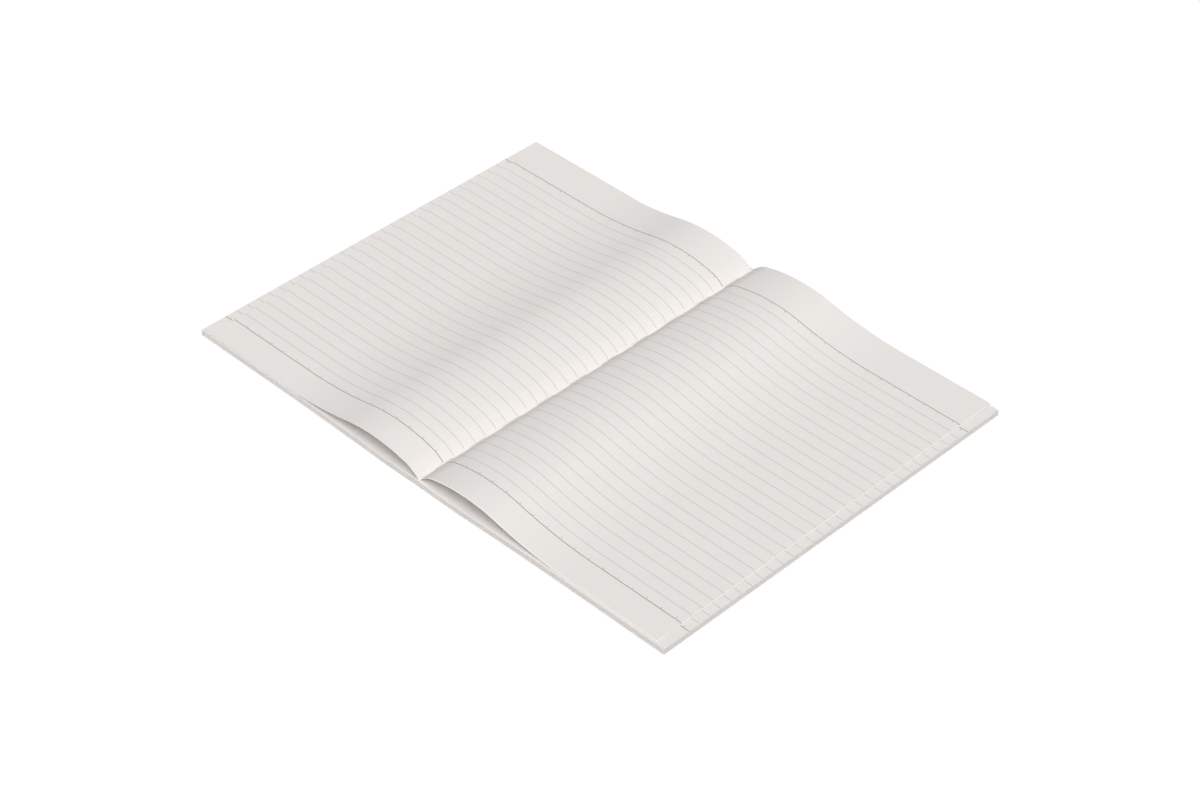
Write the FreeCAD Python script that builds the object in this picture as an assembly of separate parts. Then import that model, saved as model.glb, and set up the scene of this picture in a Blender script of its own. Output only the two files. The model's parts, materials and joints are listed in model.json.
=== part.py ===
"""Composition notebook, sewn through the fold, lying open at its middle sheet.

The frame has its origin on the table, under the middle of the spine. X runs across
the open pages towards the back cover, Y along the spine towards the head of the page
and Z up. The left half of the open notebook is the front one. Lengths are in
millimetres and angles in degrees.
"""

import FreeCAD, Part
import math
import os

# Page and paper
page_height = 252.0  # tail to head
half_width = 174.0  # spine to fore-edge, cover and pages trimmed flush
cover_thickness = 0.5
paper_thickness = 3.0  # the pages of one half, pressed flat

# Rest of the open notebook: each half bears on a flat strip beside the spine
rest_inner = 13.0  # the strip's edges, out from the spine
rest_outer = 25.0
spine_lift = 0.6  # how far the underside rises from the strip to the spine
edge_lift = 1.6  # and from the strip to the flat outer part
lift_run = 10.0  # length that bends upwards beyond the strip
ease_run = 75.0  # length that eases back to level after it

# Spine strip of the cover
spine_width = 4.6
spine_proud = 0.2  # how far it stands out below the cover

# Middle sheet, folded on the pages and sprung up from them at both sides of the fold
leaf_thickness = 0.3
fold_radius = 0.7  # inside of the fold, where the thread lies
root_radius = 18.5
crest_radius = 95.5
shoulder_angle = 15.0  # slope where the root's bend meets the crest's
fall_angle = 12.9  # steepest slope down towards the fore-edge
left_root_angle = 48.5  # steepest slope up from the fold
right_root_angle = 49.0
low_gap = 0.2  # clear space under a leaf where it comes nearest the pages
edge_gap = 0.25  # and at its free edge
left_fore_inset = 7.5  # how far the leaf's free edges stay inside the pages
right_fore_inset = 6.3
left_tail_inset = 0.5
left_head_inset = 1.6
right_tail_inset = 1.6
right_head_inset = 0.1

# Binding thread, a running stitch through the fold
thread_radius = 0.3
thread_fit = 0.05  # clearance of the thread in its channel
stitch_length = 12.0
stitch_count = 19  # odd, so that it starts and ends inside the fold
thread_flats = 8

# The underside's tangent arcs, worked out from its lifts and runs
rise_angle = 2 * math.atan(edge_lift / (lift_run + ease_run))
lift_radius = lift_run / math.sin(rise_angle)
ease_radius = ease_run / math.sin(rise_angle)
spine_radius = (rest_inner**2 + spine_lift**2) / (2 * spine_lift)
lift_end = rest_outer + lift_run
ease_end = lift_end + ease_run


def sagitta(radius, run):
    """Drop of an arc from its tangent, at a distance run along it."""
    return radius - math.sqrt(radius**2 - run**2)


def underside(x):
    """Height of the cover's lower face above the table, x out from the spine."""
    if x < rest_inner:
        return sagitta(spine_radius, rest_inner - x)
    if x <= rest_outer:
        return 0.0
    if x < lift_end:
        return sagitta(lift_radius, x - rest_outer)
    if x < ease_end:
        return edge_lift - sagitta(ease_radius, ease_end - x)
    return edge_lift


def page_top(x):
    """Height of the pages' upper face above the table, x out from the spine."""
    return underside(x) + cover_thickness + paper_thickness


def at(side, x, z):
    """Point of a half's outline at the tail; side is 1 on the right and -1 on the left."""
    return FreeCAD.Vector(side * x, -page_height / 2, z)


def prism(edges, length):
    """Closed outline in the plane of the tail, drawn out towards the head."""
    outline = Part.Wire(Part.__sortEdges__(edges))
    return Part.Face(outline).extrude(FreeCAD.Vector(0, length, 0))


def underside_edges(side, rise):
    """Edges that follow the underside from the spine to the fore-edge, raised by rise."""
    stops = [0.0, rest_inner, rest_outer, lift_end, ease_end, half_width]
    level = {rest_inner, ease_end}
    edges = []
    for start, end in zip(stops, stops[1:]):
        ends = [at(side, x, underside(x) + rise) for x in (start, end)]
        if start in level:
            edges.append(Part.LineSegment(*ends).toShape())
        else:
            middle = (start + end) / 2
            bow = at(side, middle, underside(middle) + rise)
            edges.append(Part.Arc(ends[0], bow, ends[1]).toShape())
    return edges


def layer(side, low, high):
    """One half's slab between two heights over the underside, from spine to fore-edge."""
    edges = underside_edges(side, low) + underside_edges(side, high)
    for x in (0.0, half_width):
        foot = at(side, x, underside(x) + low)
        head = at(side, x, underside(x) + high)
        edges.append(Part.LineSegment(foot, head).toShape())
    return prism(edges, page_height)


def spine_zone():
    """Box round the strip of the cover that lies under the fold."""
    height = 2 * (spine_lift + cover_thickness + spine_proud)
    corner = FreeCAD.Vector(-spine_width / 2, -page_height / 2, -spine_proud)
    return Part.makeBox(spine_width, page_height, height, corner)


def cover(side):
    """Card of one half, from the edge of the spine strip to the fore-edge."""
    return layer(side, 0.0, cover_thickness).cut(spine_zone())


def spine():
    """Strip of card under the fold, a little thicker than the cover on its outer face."""
    halves = [layer(side, -spine_proud, cover_thickness) for side in (-1, 1)]
    return halves[0].fuse(halves[1]).common(spine_zone()).removeSplitter()


def turned(side, point, heading, radius, angle):
    """Arc that leaves point along heading and turns by angle, upwards when positive."""
    sense = math.copysign(1.0, angle)

    def reached(swing):
        new = heading + swing
        x = point[0] + sense * radius * (math.sin(new) - math.sin(heading))
        z = point[1] - sense * radius * (math.cos(new) - math.cos(heading))
        return x, z

    bow, end = reached(angle / 2), reached(angle)
    edge = Part.Arc(at(side, *point), at(side, *bow), at(side, *end)).toShape()
    return edge, end, heading + angle


def leaf_face(side, bends, growth):
    """Edges of one face of a leaf, growth above its lower face, and the face's two ends."""
    first = point = (0.0, page_top(0.0) + growth)
    heading = 0.0
    edges = []
    for radius, slope in bends:
        angle = math.radians(slope) - heading
        full = radius - math.copysign(growth, angle)
        edge, point, heading = turned(side, point, heading, full, angle)
        edges.append(edge)
    return edges, first, point


def leaf(side, root_angle, insets):
    """Half of the middle sheet: it rises at the fold, bows over and settles outwards."""
    fore_inset, tail_inset, head_inset = insets
    shoulder, fall, root = (math.radians(a) for a in (shoulder_angle, fall_angle, root_angle))
    outer_fold = fold_radius + leaf_thickness
    reach = half_width - fore_inset

    # The settling arc takes up the height that is left above the low point
    fold_rise = outer_fold * (1 - math.cos(root))
    root_rise = root_radius * (math.cos(shoulder) - math.cos(root))
    crest_rise = crest_radius * (math.cos(fall) - math.cos(shoulder))
    top = page_top(0.0) + fold_rise + root_rise + crest_rise
    settle_radius = (top - page_top(half_width) - low_gap) / (1 - math.cos(fall))
    fold_run = outer_fold * math.sin(root)
    root_run = root_radius * (math.sin(root) - math.sin(shoulder))
    crest_run = crest_radius * (math.sin(shoulder) + math.sin(fall))
    low_x = fold_run + root_run + crest_run + settle_radius * math.sin(fall)

    # Past it the sheet curls up a little to its free edge
    curl_run, curl_rise = reach - low_x, edge_gap - low_gap
    curl_radius = (curl_run**2 + curl_rise**2) / (2 * curl_rise)
    curl_angle = math.degrees(math.asin(curl_run / curl_radius))

    bends = [
        (outer_fold, root_angle),
        (root_radius, shoulder_angle),
        (crest_radius, -fall_angle),
        (settle_radius, 0.0),
        (curl_radius, curl_angle),
    ]
    lower, lower_fold, lower_tip = leaf_face(side, bends, 0.0)
    upper, upper_fold, upper_tip = leaf_face(side, bends, leaf_thickness)
    ends = [(lower_fold, upper_fold), (lower_tip, upper_tip)]
    closing = [Part.LineSegment(at(side, *a), at(side, *b)).toShape() for a, b in ends]
    sheet = prism(lower + upper + closing, page_height - tail_inset - head_inset)
    return sheet.translated(FreeCAD.Vector(0, tail_inset, 0)).cut(thread_room())


def inside_run():
    """Height of the thread's centre line where it lies in the fold of the middle sheet."""
    return page_top(0.0) + leaf_thickness + thread_radius + thread_fit


def outside_run():
    """Height of the thread's centre line where it lies under the pages, on the card."""
    return underside(0.0) + cover_thickness + thread_radius + thread_fit


def hole_places():
    """Where along the spine the thread goes through the pages, from tail to head."""
    half = stitch_length * stitch_count / 2
    return [stitch_length * hole - half for hole in range(1, stitch_count)]


def stitch_corners():
    """Points that the thread's centre line would turn at if it had no bends."""
    end = stitch_length * stitch_count / 2
    corners = [FreeCAD.Vector(0, -end, inside_run())]
    for hole, y in enumerate(hole_places()):
        levels = [inside_run(), outside_run()]
        if hole % 2:
            levels.reverse()
        corners += [FreeCAD.Vector(0, y, z) for z in levels]
    return corners + [FreeCAD.Vector(0, end, inside_run())]


def ring(centre, along, radius):
    """Section of the thread square to a run: so fine a round is drawn with flats."""
    across = FreeCAD.Vector(1, 0, 0)
    upright = along.cross(across).normalize()
    turns = [2 * math.pi * (flat + 0.5) / thread_flats for flat in range(thread_flats)]
    points = [centre + (across * math.cos(t) + upright * math.sin(t)) * radius for t in turns]
    return Part.makePolygon(points + points[:1])


def bar(start, end, radius):
    """Straight bar of the thread's section between two points."""
    return Part.Face(ring(start, end - start, radius)).extrude(end - start)


def thread():
    """Running stitch, mitred where it turns at each hole."""
    corners = stitch_corners()
    section = ring(corners[0], corners[1] - corners[0], thread_radius)
    return Part.makePolygon(corners).makePipeShell([section], True, False, 1)


def thread_room():
    """Holes through the fold and the hollow along its outside, with the thread's fit."""
    radius = thread_radius + thread_fit
    below = -cover_thickness
    above = inside_run()
    holes = [
        bar(FreeCAD.Vector(0, y, below), FreeCAD.Vector(0, y, above), radius)
        for y in hole_places()
    ]
    tail = -page_height / 2
    ends = [FreeCAD.Vector(0, y, outside_run()) for y in (tail, -tail)]
    corner = FreeCAD.Vector(-radius, tail, below)
    slot = Part.makeBox(2 * radius, page_height, outside_run() - below, corner)
    return slot.multiFuse(holes + [bar(*ends, radius)])


def pages(side):
    """Pages of one half, with half of the thread's room in their inner face."""
    return layer(side, cover_thickness, cover_thickness + paper_thickness).cut(thread_room())


def main():
    left_insets = left_fore_inset, left_tail_inset, left_head_inset
    right_insets = right_fore_inset, right_tail_inset, right_head_inset
    nodes = {
        "front_cover": cover(-1),
        "back_cover": cover(1),
        "spine": spine(),
        "left_pages": pages(-1),
        "right_pages": pages(1),
        "left_leaf": leaf(-1, left_root_angle, left_insets),
        "right_leaf": leaf(1, right_root_angle, right_insets),
        "binding_thread": thread(),
    }
    os.makedirs("parts", exist_ok=True)
    for name, shape in nodes.items():
        shape.exportStep(f"parts/{name}.step")


main()
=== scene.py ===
"""Finish of an open composition notebook around its fixed frame, laid out as an add-on.

Lengths are in metres, in the frame's axes: X across the open pages, Y along the spine
towards the head of the page, Z up from the table.
"""

import json
import math
import random

import bpy
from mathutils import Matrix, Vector

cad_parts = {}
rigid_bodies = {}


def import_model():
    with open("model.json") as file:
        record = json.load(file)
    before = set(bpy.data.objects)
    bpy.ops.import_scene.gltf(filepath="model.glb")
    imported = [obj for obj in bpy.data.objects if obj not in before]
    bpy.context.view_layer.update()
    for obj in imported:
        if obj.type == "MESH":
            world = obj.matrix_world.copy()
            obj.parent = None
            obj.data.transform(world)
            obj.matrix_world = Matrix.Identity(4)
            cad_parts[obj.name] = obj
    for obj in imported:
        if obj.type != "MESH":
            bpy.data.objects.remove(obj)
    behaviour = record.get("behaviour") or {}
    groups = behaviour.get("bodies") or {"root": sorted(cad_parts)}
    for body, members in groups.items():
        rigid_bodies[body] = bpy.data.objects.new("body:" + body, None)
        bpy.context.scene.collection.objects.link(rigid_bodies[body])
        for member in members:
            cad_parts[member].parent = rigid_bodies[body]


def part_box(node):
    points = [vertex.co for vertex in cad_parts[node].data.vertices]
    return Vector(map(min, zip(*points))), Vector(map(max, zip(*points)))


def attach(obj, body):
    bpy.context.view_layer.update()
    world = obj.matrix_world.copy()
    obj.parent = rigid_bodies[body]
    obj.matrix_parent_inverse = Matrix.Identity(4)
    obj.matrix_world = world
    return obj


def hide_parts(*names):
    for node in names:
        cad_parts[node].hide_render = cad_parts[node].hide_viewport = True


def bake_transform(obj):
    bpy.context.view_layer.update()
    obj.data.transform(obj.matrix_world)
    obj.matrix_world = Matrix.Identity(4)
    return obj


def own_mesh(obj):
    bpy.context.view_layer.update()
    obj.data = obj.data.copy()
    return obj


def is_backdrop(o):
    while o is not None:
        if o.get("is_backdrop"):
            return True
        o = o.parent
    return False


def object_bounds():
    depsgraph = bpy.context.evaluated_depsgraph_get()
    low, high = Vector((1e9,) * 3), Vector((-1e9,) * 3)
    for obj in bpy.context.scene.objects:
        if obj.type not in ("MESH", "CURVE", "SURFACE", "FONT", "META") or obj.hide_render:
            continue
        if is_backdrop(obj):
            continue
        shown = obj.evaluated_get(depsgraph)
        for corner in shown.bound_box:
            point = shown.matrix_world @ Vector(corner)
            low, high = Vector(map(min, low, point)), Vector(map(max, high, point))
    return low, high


bl_info = {
    "name": "Composition Notebook",
    "version": (1, 0, 0),
    "blender": (4, 5, 0),
    "location": "3D View > Sidebar > Notebook",
    "description": "Builds the cover, pages, ruling and thread of an open sewn notebook",
    "category": "Add Mesh",
}

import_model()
CAD_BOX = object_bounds()

# What the frame says about the page blocks, the cover and the leaves
PAGES_LOW, PAGES_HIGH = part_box("right_pages")
COVER_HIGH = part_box("back_cover")[1]
SPINE_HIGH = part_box("spine")[1]
THREAD_LOW, THREAD_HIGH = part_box("binding_thread")
HALF_WIDTH = PAGES_HIGH.x
HALF_HEIGHT = PAGES_HIGH.y
CARD = PAGES_LOW.z
EDGE_LIFT = COVER_HIGH.z - CARD
SPINE_LIFT = SPINE_HIGH.z - CARD
PAGE_TOP = PAGES_HIGH.z
PAPER = PAGE_TOP - EDGE_LIFT - CARD
LEAVES = {"left_leaf": -1, "right_leaf": 1}

# Mesh: steps across the notebook near the fold and further out, and which edges are sharp
FINE_STEP = 0.00025
COARSE_STEP = 0.003
SHARP_ANGLE = math.radians(40)

# Pages' upper edge, as shares of their height and how much further in it is there
TOP_EDGE = ((0.97, 0.0), (0.99, 0.00003), (1.0, 0.0001))

# Cover: how much its edges are worn
CARD_BEVEL = 0.00008

# Leaves: points along the spine, steps over the cut edge, its width where it is square,
# and the waves along the free edge
LEAF_ROWS = 49
RIM_STEPS = 4
SQUARE_RIM = 0.00005
SLOW_WAVE, QUICK_WAVE, QUICK_SHARE = 11.0, 23.0, 0.6

# Print: how far the ink is sunk into the paper and how far it stands out, the points along
# a line on a leaf and on the pages, and the height from which lines are dropped on to them
INK_DEPTH = 0.00005
INK_HEIGHT = 0.00001
LEAF_POINTS, PAGE_POINTS = 160, 80
DROP_HEIGHT = 0.05

# Thread: length of a step along it and of one turn of its two plies, its width between
# them as a share of the whole, the radius of its bends as a share of its own, and the
# points in a bend and round its section
THREAD_STEP = 0.00025
LAY_LENGTH = 0.003
PLY_WAIST = 0.55
THREAD_BEND = 1.5
BEND_POINTS, SECTION_POINTS = 4, 10

# Paper-like finishes: specular level, height of the fibres, spread of the roughness,
# the part of a noise's range that is used, and the page edges' streaks in each metre
MATT_SPECULAR = 0.25
FIBRE_HEIGHT = 0.00005
ROUGHNESS_SPREAD = 0.04
NOISE_LOW, NOISE_HIGH = 0.3, 0.7
STREAK_SCALE = (60.0, 60.0, 9000.0)


class NotebookSizes(bpy.types.PropertyGroup):
    """Sizes of the pieces, with lengths in metres and angles in radians."""

    rest_inner: bpy.props.FloatProperty(
        name="Rest strip, inner edge",
        description="From the fold to the strip that the cover lies on",
        default=0.013, unit="LENGTH",
    )
    rest_outer: bpy.props.FloatProperty(
        name="Rest strip, outer edge",
        description="From the fold to the strip's far side",
        default=0.025, unit="LENGTH",
    )
    lift_run: bpy.props.FloatProperty(
        name="Lift run",
        description="Length that bends upwards beyond the rest strip",
        default=0.010, unit="LENGTH",
    )
    ease_run: bpy.props.FloatProperty(
        name="Ease run",
        description="Length that eases back to level after it",
        default=0.075, unit="LENGTH",
    )
    spine_width: bpy.props.FloatProperty(
        name="Spine strip width",
        description="Width of the strip of card under the fold",
        default=0.0046, unit="LENGTH",
    )
    spine_proud: bpy.props.FloatProperty(
        name="Spine strip step",
        description="How far the strip stands out below the cover",
        default=0.0002, unit="LENGTH",
    )
    leaf_thickness: bpy.props.FloatProperty(
        name="Leaf thickness",
        description="Thickness of the raised middle sheet",
        default=0.0003, unit="LENGTH",
    )
    fold_radius: bpy.props.FloatProperty(
        name="Fold radius",
        description="Inside radius of the middle sheet's fold",
        default=0.0007, unit="LENGTH",
    )
    root_radius: bpy.props.FloatProperty(
        name="Root radius",
        description="Bend of the leaf just after it leaves the fold",
        default=0.0185, unit="LENGTH",
    )
    crest_radius: bpy.props.FloatProperty(
        name="Crest radius",
        description="Bend of the leaf over its crest",
        default=0.0955, unit="LENGTH",
    )
    shoulder: bpy.props.FloatProperty(
        name="Shoulder slope",
        description="Slope where the root's bend meets the crest's",
        default=math.radians(15.0), subtype="ANGLE",
    )
    fall: bpy.props.FloatProperty(
        name="Fall slope",
        description="Steepest slope down towards the fore-edge",
        default=math.radians(12.9), subtype="ANGLE",
    )
    left_root: bpy.props.FloatProperty(
        name="Left root slope",
        description="Steepest slope of the left leaf up from the fold",
        default=math.radians(48.5), subtype="ANGLE",
    )
    right_root: bpy.props.FloatProperty(
        name="Right root slope",
        description="Steepest slope of the right leaf up from the fold",
        default=math.radians(49.0), subtype="ANGLE",
    )
    low_gap: bpy.props.FloatProperty(
        name="Low gap",
        description="Clear space where a leaf comes nearest the pages",
        default=0.0002, unit="LENGTH",
    )
    edge_gap: bpy.props.FloatProperty(
        name="Edge gap",
        description="Clear space under a leaf's free edge",
        default=0.00025, unit="LENGTH",
    )
    waviness: bpy.props.FloatProperty(
        name="Waviness",
        description="Height of the slow waves along a leaf's free edge",
        default=0.00004, unit="LENGTH",
    )
    rim_width: bpy.props.FloatProperty(
        name="Rim width",
        description="Width of the sloping cut edge of the right leaf",
        default=0.0004, unit="LENGTH",
    )
    head_overhang: bpy.props.FloatProperty(
        name="Head overhang",
        description="How far the right leaf's head edge lies beyond its place in the frame",
        default=0.0008, unit="LENGTH",
    )
    tail_overhang: bpy.props.FloatProperty(
        name="Tail overhang",
        description="How far the right leaf's tail edge lies beyond its place in the frame",
        default=0.0004, unit="LENGTH",
    )
    left_overhang: bpy.props.FloatProperty(
        name="Fore-edge overhang, left",
        description="How far the left leaf's free edge lies beyond its place in the frame",
        default=0.00125, unit="LENGTH",
    )
    right_overhang: bpy.props.FloatProperty(
        name="Fore-edge overhang, right",
        description="How far the right leaf's free edge lies beyond its place in the frame",
        default=0.0006, unit="LENGTH",
    )
    sheet_count: bpy.props.IntProperty(
        name="Sheets",
        description="Sheets whose edges show in one half",
        default=30, min=4,
    )
    sheet_relief: bpy.props.FloatProperty(
        name="Sheet relief",
        description="Depth of the groove between two sheets' edges",
        default=0.00001, unit="LENGTH",
    )
    sheet_wander: bpy.props.FloatProperty(
        name="Sheet wander",
        description="How far one sheet's edge may lie inside the others'",
        default=0.00003, unit="LENGTH",
    )
    bend_reach: bpy.props.FloatProperty(
        name="Bend reach",
        description="How far from the fold the pages and card bend when it closes",
        default=0.004, unit="LENGTH",
    )
    row_pitch: bpy.props.FloatProperty(
        name="Row height, leaves",
        description="Distance between two lines on the raised leaves",
        default=0.00748, unit="LENGTH",
    )
    row_count: bpy.props.IntProperty(
        name="Ruled lines",
        description="Lines on a page, with the heavy first and last ones",
        default=29, min=3,
    )
    tail_margin: bpy.props.FloatProperty(
        name="Tail margin",
        description="From the tail of the pages to the last line",
        default=0.0174, unit="LENGTH",
    )
    left_page_pitch: bpy.props.FloatProperty(
        name="Row height, left pages",
        description="Distance between two lines on the pages under the left leaf",
        default=0.0075, unit="LENGTH",
    )
    left_page_slip: bpy.props.FloatProperty(
        name="Left pages' slip",
        description="How far their last line lies headwards of the tail margin",
        default=-0.0004, unit="LENGTH",
    )
    right_page_pitch: bpy.props.FloatProperty(
        name="Row height, right pages",
        description="Distance between two lines on the pages under the right leaf",
        default=0.00748, unit="LENGTH",
    )
    right_page_slip: bpy.props.FloatProperty(
        name="Right pages' slip",
        description="How far their last line lies headwards of the tail margin",
        default=0.0, unit="LENGTH",
    )
    left_slip: bpy.props.FloatProperty(
        name="Left slip",
        description="How far the left leaf's ruling lies headwards of the tail margin",
        default=0.0006, unit="LENGTH",
    )
    right_slip: bpy.props.FloatProperty(
        name="Right slip",
        description="How far the right leaf's ruling lies headwards of the tail margin",
        default=0.0011, unit="LENGTH",
    )
    gutter_margin: bpy.props.FloatProperty(
        name="Gutter margin",
        description="From the fold to where the lines start",
        default=0.001, unit="LENGTH",
    )
    page_margin: bpy.props.FloatProperty(
        name="Page margin",
        description="From where the pages bend to where their lines start",
        default=0.0005, unit="LENGTH",
    )
    line_width: bpy.props.FloatProperty(
        name="Line width",
        description="Width of a thin ruled line",
        default=0.00026, unit="LENGTH",
    )
    heavy_width: bpy.props.FloatProperty(
        name="Heavy line width",
        description="Width of the first and last lines",
        default=0.00037, unit="LENGTH",
    )
    left_tick_pitch: bpy.props.FloatProperty(
        name="Tick pitch, left",
        description="Distance between two ticks on a heavy line of the left half",
        default=0.01017, unit="LENGTH",
    )
    right_tick_pitch: bpy.props.FloatProperty(
        name="Tick pitch, right",
        description="Distance between two ticks on a heavy line of the right half",
        default=0.00991, unit="LENGTH",
    )
    left_tick: bpy.props.FloatProperty(
        name="First tick, left leaf",
        description="From the start of the line to its first tick",
        default=0.0069, unit="LENGTH",
    )
    right_tick: bpy.props.FloatProperty(
        name="First tick, right leaf",
        description="From the start of the line to its first tick",
        default=0.0065, unit="LENGTH",
    )
    left_page_tick: bpy.props.FloatProperty(
        name="First tick, left pages",
        description="From the start of the line to its first tick",
        default=0.0034, unit="LENGTH",
    )
    right_page_tick: bpy.props.FloatProperty(
        name="First tick, right pages",
        description="From the start of the line to its first tick",
        default=0.0069, unit="LENGTH",
    )
    print_margin: bpy.props.FloatProperty(
        name="Print margin",
        description="From the rim of a leaf's free edge to the ends of its lines",
        default=0.00005, unit="LENGTH",
    )
    tick_gap: bpy.props.FloatProperty(
        name="Tick gap",
        description="From the middle of a line to the near end of its ticks",
        default=0.0006, unit="LENGTH",
    )
    tick_length: bpy.props.FloatProperty(
        name="Tick length",
        description="Length of a tick",
        default=0.0009, unit="LENGTH",
    )
    tick_width: bpy.props.FloatProperty(
        name="Tick width",
        description="Width of a tick",
        default=0.000296, unit="LENGTH",
    )
    thread_radius: bpy.props.FloatProperty(
        name="Thread radius",
        description="Half the thickness of the sewing thread",
        default=0.0003, unit="LENGTH",
    )
    stitch_length: bpy.props.FloatProperty(
        name="Stitch length",
        description="Distance between two holes of the running stitch",
        default=0.012, unit="LENGTH",
    )
    stitch_count: bpy.props.IntProperty(
        name="Stitches",
        description="Runs of thread, inside and outside the fold in turn",
        default=19, min=3,
    )


class NotebookColours(bpy.types.PropertyGroup):
    """Colours of the finishes, as scene linear values."""

    paper: bpy.props.FloatVectorProperty(
        name="Paper", description="Writing paper",
        default=(0.772, 0.741, 0.718), size=3, subtype="COLOR",
    )
    # Paper lightened as painted light, so that the cut side faces read brighter than the lamps
    # light them
    edges: bpy.props.FloatVectorProperty(
        name="Page edges with painted light", description="Cut edges of the pages",
        default=(0.805, 0.77, 0.745), size=3, subtype="COLOR",
    )
    card: bpy.props.FloatVectorProperty(
        name="Card", description="Cover card",
        default=(0.74, 0.705, 0.68), size=3, subtype="COLOR",
    )
    # Paper lightened as a painted highlight along the right leaf's sloping cut edge
    rim: bpy.props.FloatVectorProperty(
        name="Leaf edge highlight", description="Cut edge of the raised middle sheet",
        default=(0.83, 0.805, 0.785), size=3, subtype="COLOR",
    )
    line: bpy.props.FloatVectorProperty(
        name="Line ink", description="Ink of the thin lines",
        default=(0.44, 0.425, 0.41), size=3, subtype="COLOR",
    )
    heavy: bpy.props.FloatVectorProperty(
        name="Heavy line ink", description="Ink of the first and last lines",
        default=(0.205, 0.18, 0.174), size=3, subtype="COLOR",
    )
    thread: bpy.props.FloatVectorProperty(
        name="Thread", description="Sewing thread",
        default=(0.72, 0.69, 0.65), size=3, subtype="COLOR",
    )


def sizes():
    return bpy.context.scene.notebook_sizes


def colours():
    return bpy.context.scene.notebook_colours


# Shape of the underside, the page blocks and the leaves


def sagitta(radius, run):
    """Drop of an arc from its tangent, at a distance run along it."""
    return radius - math.sqrt(radius**2 - run**2)


def underside(x):
    """Height of the cover's lower face above the table."""
    s = sizes()
    x = abs(x)
    rise_angle = 2 * math.atan(EDGE_LIFT / (s.lift_run + s.ease_run))
    lift_end = s.rest_outer + s.lift_run
    ease_end = lift_end + s.ease_run
    if x < s.rest_inner:
        spine_radius = (s.rest_inner**2 + SPINE_LIFT**2) / (2 * SPINE_LIFT)
        return sagitta(spine_radius, s.rest_inner - x)
    if x <= s.rest_outer:
        return 0.0
    if x < lift_end:
        return sagitta(s.lift_run / math.sin(rise_angle), x - s.rest_outer)
    if x < ease_end:
        return EDGE_LIFT - sagitta(s.ease_run / math.sin(rise_angle), ease_end - x)
    return EDGE_LIFT


def across():
    """Places across the open notebook, close together where it bends at the fold."""
    bend = sizes().bend_reach
    outer = HALF_WIDTH - bend
    fine, coarse = round(bend / FINE_STEP), round(outer / COARSE_STEP)
    right = [bend * i / fine for i in range(1, fine + 1)]
    right += [bend + outer * i / coarse for i in range(1, coarse + 1)]
    return [-x for x in reversed(right)] + [0.0] + right


def outline_point(x, z, row, inset):
    """Point of the cover or pages at the tail or head, drawn in from their outline."""
    x = math.copysign(min(abs(x), HALF_WIDTH - inset), x)
    return x, (HALF_HEIGHT - inset) * (1 if row else -1), z


def leaf_reach(name):
    """How far out from the fold a leaf is drawn."""
    s = sizes()
    overhang = s.right_overhang if name == "right_leaf" else s.left_overhang
    return max(abs(corner.x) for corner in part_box(name)) + overhang


def leaf_rim(side):
    """Width of a leaf's cut edge: it slopes on the right leaf and is square on the left."""
    return sizes().rim_width if side > 0 else SQUARE_RIM


def leaf_profile(side):
    """Points and slopes along the lower face of a leaf, from the fold to its free edge."""
    s = sizes()
    root = s.right_root if side > 0 else s.left_root
    name = "right_leaf" if side > 0 else "left_leaf"
    reach = leaf_reach(name)
    outer_fold = s.fold_radius + s.leaf_thickness
    start = SPINE_LIFT + CARD + PAPER

    # The settling arc takes up the height that is left above the low point
    fold_rise = outer_fold * (1 - math.cos(root))
    root_rise = s.root_radius * (math.cos(s.shoulder) - math.cos(root))
    crest_rise = s.crest_radius * (math.cos(s.fall) - math.cos(s.shoulder))
    top = start + fold_rise + root_rise + crest_rise
    settle_radius = (top - PAGE_TOP - s.low_gap) / (1 - math.cos(s.fall))
    fold_run = outer_fold * math.sin(root)
    root_run = s.root_radius * (math.sin(root) - math.sin(s.shoulder))
    crest_run = s.crest_radius * (math.sin(s.shoulder) + math.sin(s.fall))
    low_x = fold_run + root_run + crest_run + settle_radius * math.sin(s.fall)
    curl_run, curl_rise = reach - low_x, s.edge_gap - s.low_gap
    curl_radius = (curl_run**2 + curl_rise**2) / (2 * curl_rise)
    curl_angle = math.asin(curl_run / curl_radius)

    # Each bend has a radius, the slope where it ends and a number of steps
    bends = [
        (outer_fold, root, 8),
        (s.root_radius, s.shoulder, 24),
        (s.crest_radius, -s.fall, 50),
        (settle_radius, 0.0, 36),
        (curl_radius, curl_angle, 24),
    ]
    x, z, heading = 0.0, start, 0.0
    samples = [(x, z, heading)]
    for radius, slope, steps in bends:
        turn = slope - heading
        sense = math.copysign(1.0, turn)
        for step in range(1, steps + 1):
            new = heading + turn * step / steps
            new_x = x + sense * radius * (math.sin(new) - math.sin(heading))
            new_z = z - sense * radius * (math.cos(new) - math.cos(heading))
            samples.append((new_x, new_z, new))
        x, z, heading = samples[-1]
    return samples


# Mesh building


def place_in_scene(name, data):
    """Object of that name for the data, linked to the scene."""
    item = bpy.data.objects.new(name, data)
    bpy.context.scene.collection.objects.link(item)
    return item


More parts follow.
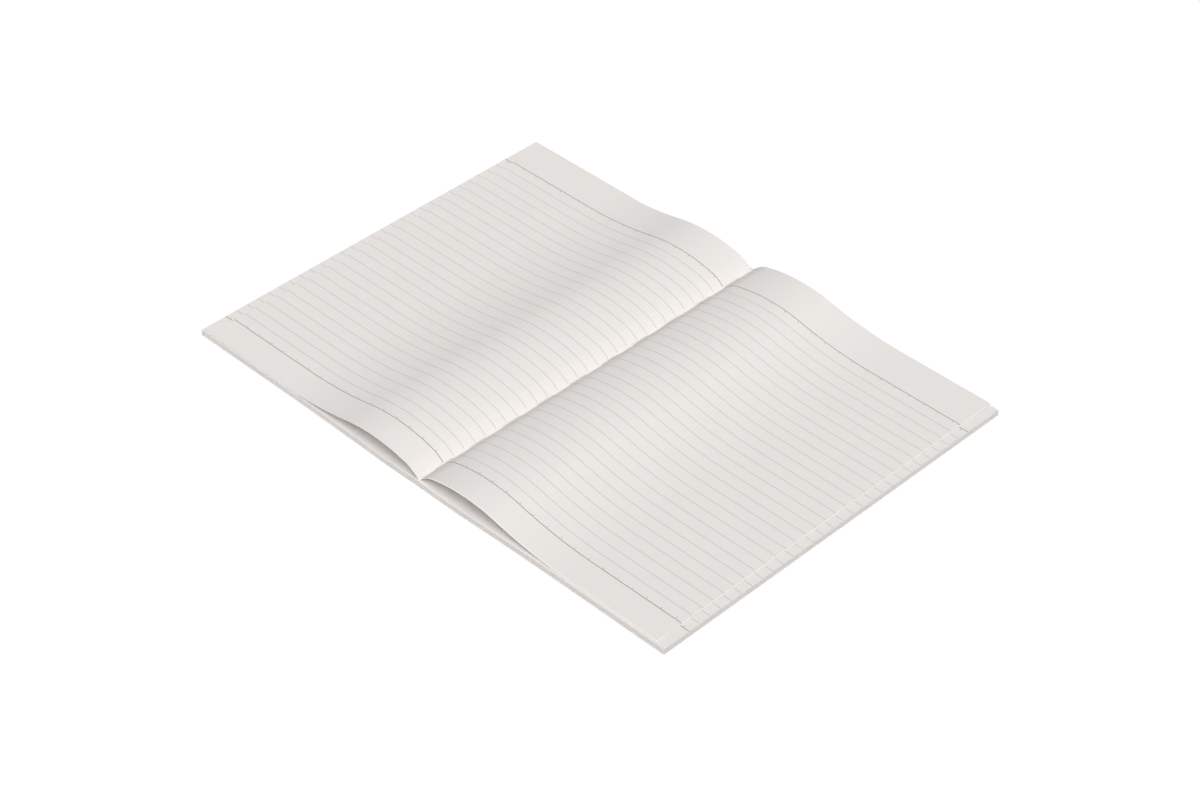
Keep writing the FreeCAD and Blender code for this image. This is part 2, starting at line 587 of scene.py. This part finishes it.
def slab(name, place, columns, rows, levels, finishes):
    """Closed mesh over a grid of columns and rows; place gives each point by its level.

    The first finish is for the broad faces and the last for the sides.
    """
    grid = [(c, r) for r in range(rows) for c in range(columns)]
    rim = [(c, 0) for c in range(columns)]
    rim += [(columns - 1, r) for r in range(1, rows)]
    rim += [(c, rows - 1) for c in range(columns - 2, -1, -1)]
    rim += [(0, r) for r in range(rows - 2, 0, -1)]
    around = list(zip(rim, rim[1:] + rim[:1]))
    points, index = [], {}
    for level in range(levels):
        for spot in grid if level in (0, levels - 1) else rim:
            index[level, spot] = len(points)
            points.append(place(*spot, level))
    faces = []
    for c in range(columns - 1):
        for r in range(rows - 1):
            corners = [(c, r), (c + 1, r), (c + 1, r + 1), (c, r + 1)]
            faces.append([index[levels - 1, spot] for spot in corners])
            faces.append([index[0, spot] for spot in reversed(corners)])
    broad = len(faces)
    for level in range(levels - 1):
        for here, there in around:
            lower = [index[level, here], index[level, there]]
            upper = [index[level + 1, there], index[level + 1, here]]
            faces.append(lower + upper)
    mesh = bpy.data.meshes.new(name)
    mesh.from_pydata(points, [], faces)
    mesh.polygons.foreach_set("use_smooth", [True] * len(faces))
    mesh.set_sharp_from_angle(angle=SHARP_ANGLE)
    for key in finishes:
        mesh.materials.append(finish(key))
    sides = [len(finishes) - 1] * (len(faces) - broad)
    mesh.polygons.foreach_set("material_index", [0] * broad + sides)

    # The broad faces keep their own normals up to the rim
    lips = set()
    for level in (0, levels - 1):
        for here, there in around:
            lips.add(frozenset((index[level, here], index[level, there])))
    for edge in mesh.edges:
        if frozenset(edge.vertices) in lips:
            edge.use_edge_sharp = True
    return place_in_scene(name, mesh)


# Node trees


def node_tools(tree):
    """Function that adds a node to the tree, and one that adds a sum and gives its result."""

    def add(node_type, settings=(), **inputs):
        """Inputs go by name or as at_0, at_1; each is a value or a socket to link from."""
        node = tree.nodes.new(node_type)
        for key, value in dict(settings).items():
            setattr(node, key, value)
        for key, value in inputs.items():
            words = key.replace("_", " ")
            if words.startswith("at "):
                socket = node.inputs[int(words[3:])]
            else:
                socket = next(s for s in node.inputs if s.name.lower() == words and s.enabled)
            if isinstance(value, bpy.types.NodeSocket):
                tree.links.new(value, socket)
            else:
                socket.default_value = value
        return node

    def calc(operation, a, b=0.0):
        return add("ShaderNodeMath", {"operation": operation}, at_0=a, at_1=b).outputs[0]

    return add, calc


def new_group(kind, name, inputs, outputs):
    """Node group with its named inputs and outputs, each given with its socket type."""
    tree = bpy.data.node_groups.new(name, kind)
    for way, sockets in (("INPUT", inputs), ("OUTPUT", outputs)):
        for label, socket_type in sockets.items():
            tree.interface.new_socket(label, in_out=way, socket_type="NodeSocket" + socket_type)
    return tree


def grow(name, tree, values, start=None):
    """Plain mesh that a tree makes from its named inputs, and from a start curve if any."""
    source = place_in_scene(name + "_source", start or bpy.data.meshes.new(name))
    modifier = source.modifiers.new("grow", "NODES")
    modifier.node_group = tree
    sockets = {item.name: item.identifier for item in tree.interface.items_tree}
    for key, value in values.items():
        modifier[sockets[key]] = value
    bpy.context.view_layer.update()
    graph = bpy.context.evaluated_depsgraph_get()
    mesh = bpy.data.meshes.new_from_object(source.evaluated_get(graph), depsgraph=graph)
    mesh.name = name
    if not mesh.polygons:
        raise RuntimeError(f"{name} came out empty")
    bpy.data.objects.remove(source)
    return place_in_scene(name, mesh)


# Finishes


def grain_group():
    """Cloudy formation and fine fibres of paper, as a tone and a height."""
    found = bpy.data.node_groups.get("Paper grain")
    if found:
        return found
    names = ("Fibre Size", "Cloud Size", "Cloud Amount", "Fibre Amount")
    inputs = dict.fromkeys(names, "Float")
    tree = new_group("ShaderNodeTree", "Paper grain", inputs, {"Tone": "Float", "Height": "Float"})
    add, calc = node_tools(tree)
    given = add("NodeGroupInput").outputs
    place = add("ShaderNodeTexCoord").outputs["Object"]

    def noise_at(size, detail):
        scale = calc("DIVIDE", 1.0, size)
        return add("ShaderNodeTexNoise", vector=place, scale=scale, detail=detail).outputs[0]

    def swing(value, amount):
        return calc("MULTIPLY", calc("SUBTRACT", value, 0.5), amount)

    fibres = noise_at(given["Fibre Size"], 5.0)
    clouds = noise_at(given["Cloud Size"], 3.0)
    both = calc("ADD", swing(clouds, given["Cloud Amount"]), swing(fibres, given["Fibre Amount"]))
    add("NodeGroupOutput", tone=calc("ADD", both, 1.0), height=fibres)
    return tree


def grain(fibre_size, fibre_amount, cloud_size=0.006, cloud_amount=0.02):
    """Sizes in metres and strengths of a finish's fibres and clouds."""
    return {
        "Fibre Size": fibre_size, "Fibre Amount": fibre_amount,
        "Cloud Size": cloud_size, "Cloud Amount": cloud_amount,
    }


def matt(name, colour, roughness, fibres_and_clouds, bump, streaks=0.0):
    """Matt fibrous finish: colour varied by the grain, with its fibres as bump."""
    material = bpy.data.materials.new(name)
    material.use_nodes = True
    tree = material.node_tree
    shader = tree.nodes["Principled BSDF"]
    shader.inputs["Specular IOR Level"].default_value = MATT_SPECULAR
    add, calc = node_tools(tree)
    group = add("ShaderNodeGroup", {"node_tree": grain_group()})
    for key, value in fibres_and_clouds.items():
        group.inputs[key].default_value = value
    tone = group.outputs["Tone"]
    if streaks:
        place = add("ShaderNodeTexCoord").outputs["Object"]
        stretched = add("ShaderNodeMapping", vector=place, scale=STREAK_SCALE)
        layers = add("ShaderNodeTexNoise", vector=stretched.outputs[0], scale=1.0, detail=2.0)
        fade = add(
            "ShaderNodeMapRange", value=layers.outputs[0], at_1=NOISE_LOW, at_2=NOISE_HIGH,
            at_3=1.0 - streaks, at_4=1.0,
        )
        tone = calc("MULTIPLY", tone, fade.outputs[0])
    shade = add("ShaderNodeVectorMath", {"operation": "SCALE"}, at_0=colour, scale=tone)
    rough = add(
        "ShaderNodeMapRange", value=group.outputs["Height"], at_1=NOISE_LOW, at_2=NOISE_HIGH,
        at_3=roughness - ROUGHNESS_SPREAD, at_4=roughness + ROUGHNESS_SPREAD,
    )
    relief = add(
        "ShaderNodeBump", height=group.outputs["Height"], strength=bump, distance=FIBRE_HEIGHT
    )
    tree.links.new(shade.outputs[0], shader.inputs["Base Color"])
    tree.links.new(rough.outputs[0], shader.inputs["Roughness"])
    tree.links.new(relief.outputs[0], shader.inputs["Normal"])
    return material


def finish(name):
    """The named finish, made when it is first asked for."""
    found = bpy.data.materials.get(name)
    if found:
        return found
    c = colours()
    fine = grain(0.00025, 0.02, 0.008, 0.02)

    # Colour, roughness, grain, bump and, on the page edges, streaks
    kinds = {
        "writing_paper": (c.paper, 0.9, fine, 0.25),
        # The page edges' finish is paper lightened as painted light on the side faces
        "page_edges_painted_light": (c.edges, 0.92, fine, 0.3, 0.04),
        # The leaf's edge finish is paper lightened as a painted highlight
        "leaf_edge_painted_highlight": (c.rim, 0.9, fine, 0.25),
        "cover_card": (c.card, 0.8, grain(0.0005, 0.06, 0.02, 0.05), 0.4),
        "line_ink": (c.line, 0.85, grain(0.0002, 0.25), 0.1),
        "heavy_ink": (c.heavy, 0.85, grain(0.0002, 0.3), 0.1),
        "sewing_thread": (c.thread, 0.75, grain(0.0001, 0.2), 0.5),
    }
    return matt(name, *kinds[name])


# Pieces


class NOTEBOOK_OT_cover(bpy.types.Operator):
    """Card cover: both boards and the spine strip, folded from one piece"""

    bl_idname = "notebook.cover"
    bl_label = "Cover"

    def execute(self, context):
        s = sizes()
        strip = s.spine_width / 2
        ramp = s.spine_proud / 2
        places = sorted({*across(), -strip - ramp, -strip, strip, strip + ramp})
        profile = [(0.0, CARD_BEVEL), (0.2, 0.0), (0.8, 0.0), (1.0, CARD_BEVEL)]

        def place(column, row, level):
            x = places[column]
            share, inset = profile[level]
            bottom = underside(x) - (s.spine_proud if abs(x) <= strip else 0.0)
            z = bottom + (underside(x) + CARD - bottom) * share
            return outline_point(x, z, row, inset)

        piece = slab("cover_card", place, len(places), 2, len(profile), ("cover_card",))
        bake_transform(piece)
        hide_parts("front_cover", "spine", "back_cover")
        return {"FINISHED"}


class NOTEBOOK_OT_pages(bpy.types.Operator):
    """Pages of both halves, pressed together, with each sheet's cut edge"""

    bl_idname = "notebook.pages"
    bl_label = "Pages"

    def execute(self, context):
        s = sizes()
        draw = random.Random(7)
        places = across()

        # Every sheet's edge is flat but for a groove under the next one
        profile = [(0.0, 0.0)]
        for sheet in range(s.sheet_count):
            wander = draw.uniform(0.0, s.sheet_wander)
            for share in (0.2, 0.8):
                profile.append(((sheet + share) / s.sheet_count, wander))
            profile.append(((sheet + 1) / s.sheet_count, wander + s.sheet_relief))
        top_inset = profile[-2][1]
        profile[-2:] = [(share, top_inset + inset) for share, inset in TOP_EDGE]

        def place(column, row, level):
            x = places[column]
            share, inset = profile[level]
            return outline_point(x, underside(x) + CARD + PAPER * share, row, inset)

        # The sides take the page edges' finish, paper lightened as painted light
        finishes = ("writing_paper", "page_edges_painted_light")
        piece = slab("pages", place, len(places), 2, len(profile), finishes)
        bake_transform(piece)
        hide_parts("left_pages", "right_pages")
        return {"FINISHED"}


class NOTEBOOK_OT_leaves(bpy.types.Operator):
    """Two leaves of the middle sheet, sprung up from the fold"""

    bl_idname = "notebook.leaves"
    bl_label = "Raised leaves"

    def execute(self, context):
        s = sizes()
        for name, side in LEAVES.items():
            low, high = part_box(name)
            samples = leaf_profile(side)
            head, tail = high.y, low.y
            if side > 0:
                head, tail = head + s.head_overhang, tail - s.tail_overhang
            rim = leaf_rim(side)
            levels = []
            for step in range(RIM_STEPS + 1):
                swing = math.pi / 2 / RIM_STEPS * step
                levels.append((math.sin(swing), rim * (1 - math.cos(swing))))
            reach = samples[-1][0]
            if side < 0:
                samples = samples[::-1]

            def place(column, row, level):
                x, z, slope = samples[column]
                share, inset = levels[level]
                along = row / (LEAF_ROWS - 1)
                y = tail + inset + (head - tail - 2 * inset) * along
                wave = math.sin(along * SLOW_WAVE + side)
                wave += QUICK_SHARE * math.sin(along * QUICK_WAVE - side)
                z += s.waviness * (1 + wave / (1 + QUICK_SHARE)) * (x / reach) ** 4
                x -= s.leaf_thickness * share * math.sin(slope)
                z += s.leaf_thickness * share * math.cos(slope)
                return side * max(min(x, reach - inset), 0.0), y, z

            # The left leaf's square cut edge takes the page edges' lightened finish, painted light
            # The right leaf's cut edge gets a painted highlight from its lighter finish
            finishes = ("writing_paper", "leaf_edge_painted_highlight" if side > 0 else "page_edges_painted_light")
            shape = (len(samples), LEAF_ROWS, len(levels))
            piece = slab(name + "_sheet", place, *shape, finishes)
            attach(piece, "back_half" if side > 0 else "front_half")
            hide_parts(name)
            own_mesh(piece)
        return {"FINISHED"}


def ruling_tree():
    """Node tree that prints ruled lines on a sheet, with ticks along them if asked."""
    found = bpy.data.node_groups.get("Ruling")
    if found:
        return found
    lengths = (
        "Start", "End", "First Line", "Pitch", "Width", "Ink Depth", "Ink Height",
        "Tick Start", "Tick Pitch", "Tick Gap", "Tick Length", "Tick Width",
    )
    inputs = {"Sheet": "Object", "Ink": "Material", **dict.fromkeys(lengths, "Float")}
    inputs |= dict.fromkeys(("Points", "Lines", "Ticks"), "Int")
    tree = new_group("GeometryNodeTree", "Ruling", inputs, {"Geometry": "Geometry"})
    add, calc = node_tools(tree)
    given = add("NodeGroupInput").outputs

    def point(x=0.0, y=0.0, z=0.0):
        return add("ShaderNodeCombineXYZ", x=x, y=y, z=z).outputs[0]

    # One line, set out along the pages, repeated and dropped on to the sheet
    line = add(
        "GeometryNodeCurvePrimitiveLine", start=point(given["Start"]), end=point(given["End"])
    ).outputs[0]
    line = add(
        "GeometryNodeResampleCurve", {"mode": "COUNT"}, curve=line, count=given["Points"]
    ).outputs[0]
    starts = add(
        "GeometryNodeMeshLine", count=given["Lines"],
        start_location=point(y=given["First Line"]), offset=point(y=given["Pitch"]),
    ).outputs[0]
    lines = add("GeometryNodeInstanceOnPoints", points=starts, instance=line).outputs[0]
    lines = add("GeometryNodeRealizeInstances", geometry=lines).outputs[0]
    sheet = add("GeometryNodeObjectInfo", object=given["Sheet"]).outputs["Geometry"]
    here = add("GeometryNodeInputPosition").outputs[0]
    above = add("ShaderNodeVectorMath", {"operation": "ADD"}, at_0=here, at_1=(0, 0, DROP_HEIGHT))
    hit = add(
        "GeometryNodeRaycast", target_geometry=sheet, source_position=above.outputs[0],
        ray_direction=(0, 0, -1), ray_length=1.0,
    ).outputs["Hit Position"]
    lines = add("GeometryNodeSetPosition", geometry=lines, position=hit).outputs[0]
    lines = add("GeometryNodeSetCurveNormal", {"mode": "Z_UP"}, curve=lines).outputs[0]

    # The print is a thin closed bar, sunk into the sheet but for the ink's height
    thickness = calc("ADD", given["Ink Depth"], given["Ink Height"])
    middle = calc("SUBTRACT", given["Ink Height"], calc("MULTIPLY", thickness, 0.5))
    section = add(
        "GeometryNodeCurvePrimitiveQuadrilateral", width=given["Width"], height=thickness
    ).outputs[0]
    bars = add(
        "GeometryNodeCurveToMesh", curve=lines, profile_curve=section, fill_caps=True
    ).outputs[0]

    # Ticks point from their line to the middle of the page
    steps = calc("SUBTRACT", given["Ticks"], 1.0)
    last = calc("ADD", given["Tick Start"], calc("MULTIPLY", steps, given["Tick Pitch"]))
    ticked = add(
        "GeometryNodeTrimCurve", {"mode": "LENGTH"},
        curve=lines, at_4=given["Tick Start"], at_5=last,
    ).outputs[0]
    spots = add(
        "GeometryNodeCurveToPoints", {"mode": "COUNT"}, curve=ticked, count=given["Ticks"]
    ).outputs
    tailwards = add("ShaderNodeSeparateXYZ", vector=here).outputs["Y"]
    inward = calc("MULTIPLY", calc("SIGN", tailwards), -1.0)
    centre = calc("ADD", given["Tick Gap"], calc("MULTIPLY", given["Tick Length"], 0.5))
    shift = point(y=calc("MULTIPLY", inward, centre))
    placed = add("GeometryNodeSetPosition", geometry=spots["Points"], offset=shift).outputs[0]
    bar = add(
        "GeometryNodeMeshCube", size=point(given["Tick Length"], thickness, given["Tick Width"])
    ).outputs[0]
    ticks = add(
        "GeometryNodeInstanceOnPoints", points=placed, instance=bar, rotation=spots["Rotation"]
    ).outputs[0]
    ticks = add(
        "GeometryNodeSwitch", {"input_type": "GEOMETRY"}, switch=given["Ticks"], true=ticks
    ).outputs[0]
    join = add("GeometryNodeJoinGeometry")
    for part in (bars, ticks):
        tree.links.new(part, join.inputs[0])
    marks = add("GeometryNodeRealizeInstances", geometry=join.outputs[0]).outputs[0]
    marks = add("GeometryNodeSetPosition", geometry=marks, offset=point(z=middle)).outputs[0]
    marks = add("GeometryNodeSetMaterial", geometry=marks, material=given["Ink"]).outputs[0]
    tree.links.new(marks, add("NodeGroupOutput").inputs[0])
    return tree


class NOTEBOOK_OT_ruling(bpy.types.Operator):
    """Printed lines and ticks on both leaves and on the pages under them"""

    bl_idname = "notebook.ruling"
    bl_label = "Ruling"

    def execute(self, context):
        for name, side in LEAVES.items():
            self.rule(name, side, on_leaf=True)
            self.rule(name, side, on_leaf=False)
        return {"FINISHED"}

    def rule(self, name, side, on_leaf):
        """Print the thin lines, then the heavy ones with their ticks"""
        s = sizes()
        label = name.split("_")[0]

        def own(key):
            return getattr(s, f"{label}_{key}")

        if on_leaf:
            surface, sheet, points = "leaf", name + "_sheet", LEAF_POINTS
            start, end = s.gutter_margin, leaf_reach(name) - leaf_rim(side) - s.print_margin
            pitch, slip, tick = s.row_pitch, own("slip"), own("tick")
        else:
            surface, sheet, points = "page", "pages", PAGE_POINTS
            start = s.bend_reach + s.page_margin
            end = HALF_WIDTH - s.sheet_wander - TOP_EDGE[-1][1]
            pitch, slip, tick = own("page_pitch"), own("page_slip"), own("page_tick")
        first = s.tail_margin - HALF_HEIGHT + slip
        ticks = int((end - start - tick) / own("tick_pitch")) + 1
        span = pitch * (s.row_count - 1)
        inks = (
            ("lines", pitch, s.row_count - 2, pitch, s.line_width, "line_ink", 0),
            ("end_lines", 0.0, 2, span, s.heavy_width, "heavy_ink", ticks),
        )
        for suffix, offset, count, step, width, ink, tick_count in inks:
            values = {
                "Sheet": bpy.data.objects[sheet],
                "Start": side * start,
                "End": side * end,
                "Points": points,
                "First Line": first + offset,
                "Lines": count,
                "Pitch": step,
                "Width": width,
                "Ink Depth": INK_DEPTH,
                "Ink Height": INK_HEIGHT,
                "Ticks": tick_count,
                "Tick Start": tick,
                "Tick Pitch": own("tick_pitch"),
                "Tick Gap": s.tick_gap,
                "Tick Length": s.tick_length,
                "Tick Width": s.tick_width,
                "Ink": finish(ink),
            }
            piece = grow(f"{label}_{surface}_{suffix}", ruling_tree(), values)
            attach(piece, "back_half" if side > 0 else "front_half")
            if on_leaf:
                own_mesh(piece)


def thread_tree():
    """Node tree that rounds a stitch route and lays a twisted thread along it."""
    lengths = dict.fromkeys(("Radius", "Bend", "Step", "Lay Length"), "Float")
    inputs = {"Geometry": "Geometry", **lengths, "Finish": "Material"}
    tree = new_group("GeometryNodeTree", "Twisted thread", inputs, {"Geometry": "Geometry"})
    add, calc = node_tools(tree)
    given = add("NodeGroupInput").outputs
    route = add(
        "GeometryNodeFilletCurve", {"mode": "POLY"}, curve=given["Geometry"],
        radius=given["Bend"], count=BEND_POINTS,
    ).outputs[0]
    route = add(
        "GeometryNodeResampleCurve", {"mode": "LENGTH"}, curve=route, length=given["Step"]
    ).outputs[0]
    length = add("GeometryNodeSplineParameter").outputs["Length"]
    tilt = calc("MULTIPLY", calc("DIVIDE", length, given["Lay Length"]), math.tau)
    route = add("GeometryNodeSetCurveTilt", curve=route, tilt=tilt).outputs[0]

    # The section has two lobes, one for each ply
    ring = add(
        "GeometryNodeCurvePrimitiveCircle", {"mode": "RADIUS"}, resolution=SECTION_POINTS,
        radius=given["Radius"],
    ).outputs[0]
    here = add("GeometryNodeInputPosition").outputs[0]
    part = add("ShaderNodeSeparateXYZ", vector=here).outputs
    size = calc("ABSOLUTE", calc("DIVIDE", part["X"], given["Radius"]))
    waist = add("ShaderNodeMapRange", value=size, at_1=0.0, at_2=1.0, at_3=PLY_WAIST, at_4=1.0)
    narrowed = calc("MULTIPLY", part["Y"], waist.outputs[0])
    lobes = add("ShaderNodeCombineXYZ", x=part["X"], y=narrowed)
    ring = add("GeometryNodeSetPosition", geometry=ring, position=lobes.outputs[0]).outputs[0]
    body = add(
        "GeometryNodeCurveToMesh", curve=route, profile_curve=ring, fill_caps=True
    ).outputs[0]
    body = add("GeometryNodeRealizeInstances", geometry=body).outputs[0]
    body = add("GeometryNodeSetMaterial", geometry=body, material=given["Finish"]).outputs[0]
    tree.links.new(body, add("NodeGroupOutput").inputs[0])
    return tree


class NOTEBOOK_OT_thread(bpy.types.Operator):
    """Sewing thread in a running stitch through the fold"""

    bl_idname = "notebook.thread"
    bl_label = "Binding thread"

    def execute(self, context):
        s = sizes()

        # The frame's thread has eight flats, which lie a little inside its radius
        flat = s.thread_radius * math.cos(math.pi / 8)
        inside, outside = THREAD_HIGH.z - flat, THREAD_LOW.z + flat
        first = -s.stitch_length * s.stitch_count / 2
        route = [(0.0, first, inside)]
        for hole in range(1, s.stitch_count):
            y = first + hole * s.stitch_length
            levels = (inside, outside) if hole % 2 else (outside, inside)
            route += [(0.0, y, z) for z in levels]
        route.append((0.0, -first, inside))
        curve = bpy.data.curves.new("stitches", "CURVE")
        curve.dimensions = "3D"
        spline = curve.splines.new("POLY")
        spline.points.add(len(route) - 1)
        for point, place in zip(spline.points, route):
            point.co = (*place, 1.0)
        values = {
            "Radius": s.thread_radius,
            "Bend": s.thread_radius * THREAD_BEND,
            "Step": THREAD_STEP,
            "Lay Length": LAY_LENGTH,
            "Finish": finish("sewing_thread"),
        }
        piece = grow("sewing_thread", thread_tree(), values, curve)
        piece.data.polygons.foreach_set("use_smooth", [True] * len(piece.data.polygons))
        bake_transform(piece)
        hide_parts("binding_thread")
        return {"FINISHED"}


# Stage

CAMERA_AZIMUTH = math.radians(44.979)
CAMERA_ELEVATION = math.radians(39.631)
CAMERA_LENS = 88.547
CAMERA_PLACE = (0.8647, -0.8604, 0.9951)
KEY_ELEVATION = math.radians(55.3)
KEY_ANGLE = math.radians(66)
KEY_SHARE = 0.91  # part of a level face's light that the lamp gives
SKY_SHARE = 0.09  # and the sky
FLOOR_SIZE = 12.0
FLOOR_DROP = 0.0001  # below the table's height, clear of the cover
FLOOR_BOUNCE = 0.5  # grey that lights the notebook from below
FLOOR_SHADOW = 0.13  # part of the white that a shadow takes away
FLOOR_GLOW = 0.89  # and the part that it can't


def way_up(elevation):
    """Direction from the notebook on the camera's side, at an angle above the table."""
    level = math.cos(elevation)
    x, y = math.sin(CAMERA_AZIMUTH) * level, -math.cos(CAMERA_AZIMUTH) * level
    return Vector((x, y, math.sin(elevation)))


def seen_directly(tree):
    """Socket that is 1 for rays from the camera, in a mirror or through glass."""
    add, calc = node_tools(tree)
    path = add("ShaderNodeLightPath").outputs
    mirrored = calc("MAXIMUM", path["Is Glossy Ray"], path["Is Transmission Ray"])
    return calc("MAXIMUM", path["Is Camera Ray"], mirrored)


class NOTEBOOK_OT_stage(bpy.types.Operator):
    """White floor and sky, one large soft lamp and the camera"""

    bl_idname = "notebook.stage"
    bl_label = "Stage"

    def execute(self, context):
        scene = context.scene
        scene.view_settings.view_transform = "Standard"
        self.make_floor()
        self.make_sky(scene)
        self.make_lamp()
        self.make_camera(scene)
        return {"FINISHED"}

    def make_floor(self):
        """Floor that is white to the camera but for the notebook's shadow"""
        mesh = bpy.data.meshes.new("floor")
        reach = FLOOR_SIZE / 2
        corners = [(-reach, -reach), (reach, -reach), (reach, reach), (-reach, reach)]
        mesh.from_pydata([(x, y, -FLOOR_DROP) for x, y in corners], [], [(0, 1, 2, 3)])
        floor = place_in_scene("floor", mesh)
        material = bpy.data.materials.new("white_floor")
        material.use_nodes = True
        tree = material.node_tree
        tree.nodes.clear()
        add, _ = node_tools(tree)
        plain = add("ShaderNodeBsdfDiffuse", color=(*[FLOOR_BOUNCE] * 3, 1)).outputs[0]
        shadow = add("ShaderNodeBsdfDiffuse", color=(*[FLOOR_SHADOW] * 3, 1)).outputs[0]
        glow = add("ShaderNodeEmission", strength=FLOOR_GLOW).outputs[0]
        white = add("ShaderNodeAddShader", at_0=shadow, at_1=glow).outputs[0]
        direct = seen_directly(tree)
        mix = add("ShaderNodeMixShader", at_0=direct, at_1=plain, at_2=white).outputs[0]
        add("ShaderNodeOutputMaterial", surface=mix)
        mesh.materials.append(material)
        floor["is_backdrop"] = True

    def make_sky(self, scene):
        """White sky, which gives only its share of the light"""
        world = bpy.data.worlds.new("studio")
        scene.world = world
        world.use_nodes = True
        tree = world.node_tree
        tree.nodes.clear()
        add, _ = node_tools(tree)
        light, white = (
            add("ShaderNodeBackground", color=(1, 1, 1, 1), strength=strength).outputs[0]
            for strength in (SKY_SHARE, 1.0)
        )
        direct = seen_directly(tree)
        mix = add("ShaderNodeMixShader", at_0=direct, at_1=light, at_2=white).outputs[0]
        add("ShaderNodeOutputWorld", surface=mix)

    def make_lamp(self):
        """Lamp of which a level face gets its share of the light"""
        lamp = bpy.data.lights.new("soft_key", "SUN")
        lamp.angle = KEY_ANGLE
        way = way_up(KEY_ELEVATION)
        lamp.energy = KEY_SHARE * math.pi / way.z
        key = place_in_scene("soft_key", lamp)
        key.location = way
        key.rotation_euler = (-way).to_track_quat("-Z", "Y").to_euler()

    def make_camera(self, scene):
        """Camera fitted to the photo"""
        data = bpy.data.cameras.new("camera")
        data.lens = CAMERA_LENS
        data.clip_start, data.clip_end = 0.05, 20.0
        camera = place_in_scene("camera", data)
        camera.location = CAMERA_PLACE
        camera.rotation_euler = (-way_up(CAMERA_ELEVATION)).to_track_quat("-Z", "Y").to_euler()
        scene.camera = camera


class NOTEBOOK_PT_panel(bpy.types.Panel):
    """Lists the notebook's operators and values"""

    bl_idname = "NOTEBOOK_PT_panel"
    bl_label = "Notebook"
    bl_space_type = "VIEW_3D"
    bl_region_type = "UI"
    bl_category = "Notebook"

    def draw(self, context):
        for operator in OPERATORS:
            self.layout.operator(operator.bl_idname)
        for group in (context.scene.notebook_sizes, context.scene.notebook_colours):
            box = self.layout.box()
            for key in group.__annotations__:
                box.prop(group, key)


OPERATORS = (
    NOTEBOOK_OT_cover,
    NOTEBOOK_OT_pages,
    NOTEBOOK_OT_leaves,
    NOTEBOOK_OT_ruling,
    NOTEBOOK_OT_thread,
    NOTEBOOK_OT_stage,
)
GROUPS = (NotebookSizes, NotebookColours)


def register():
    for item in (*GROUPS, *OPERATORS, NOTEBOOK_PT_panel):
        bpy.utils.register_class(item)
    bpy.types.Scene.notebook_sizes = bpy.props.PointerProperty(type=NotebookSizes)
    bpy.types.Scene.notebook_colours = bpy.props.PointerProperty(type=NotebookColours)


def unregister():
    del bpy.types.Scene.notebook_colours
    del bpy.types.Scene.notebook_sizes
    for item in reversed((*GROUPS, *OPERATORS, NOTEBOOK_PT_panel)):
        bpy.utils.unregister_class(item)


def main():
    register()
    bpy.ops.notebook.cover()
    bpy.ops.notebook.pages()
    bpy.ops.notebook.leaves()
    bpy.ops.notebook.ruling()
    bpy.ops.notebook.thread()
    bpy.ops.notebook.stage()
    boxes = {"cad": CAD_BOX, "visual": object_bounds()}
    {key: [list(corner) for corner in box] for key, box in boxes.items()}


if __name__ == "__main__":
    main()
